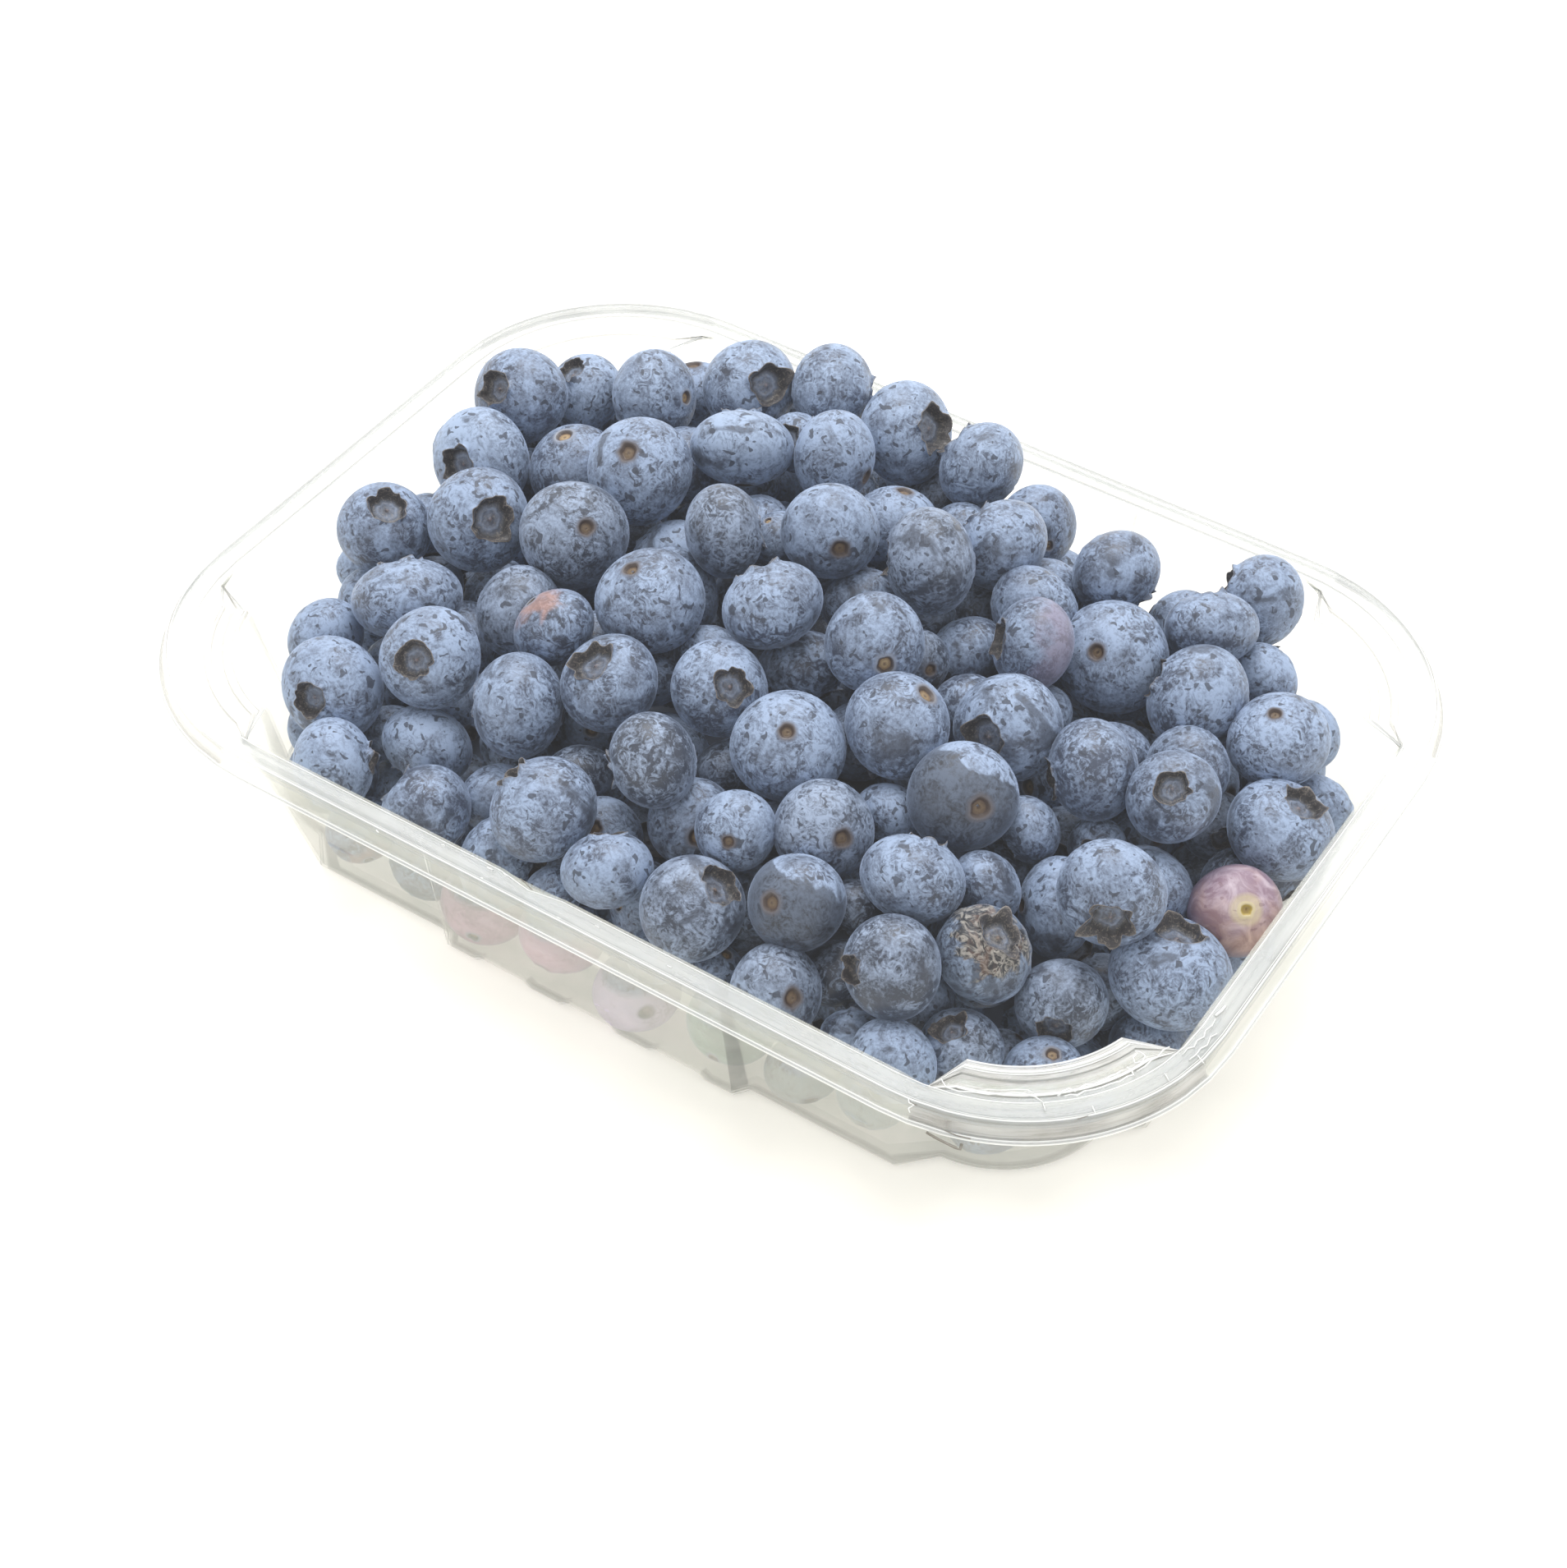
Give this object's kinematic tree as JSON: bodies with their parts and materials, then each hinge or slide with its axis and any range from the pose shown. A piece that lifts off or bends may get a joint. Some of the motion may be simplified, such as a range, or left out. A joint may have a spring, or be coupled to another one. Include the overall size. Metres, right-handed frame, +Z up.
{
  "type": "punnet of blueberries",
  "caption": "Shallow clear plastic punnet with a beaded rim, stepped corner ledges and ribbed walls, heaped above its rim with loose blueberries.",
  "frame": {"origin": "on the table, under the middle of the tray's footprint", "axes": "+X along the tray's long side, +Y along its short side towards the higher side of the heap, +Z up"},
  "size_m": [0.187, 0.137, 0.0505],
  "materials": {
    "clear_plastic": "clear, glossy, slightly hazy",
    "berry_skin": "matt blue skin with a pale powdery bloom"
  },
  "bodies": {
    "root": {"tray": "clear_plastic", "berries": "berry_skin"}
  },
  "joints": []
}
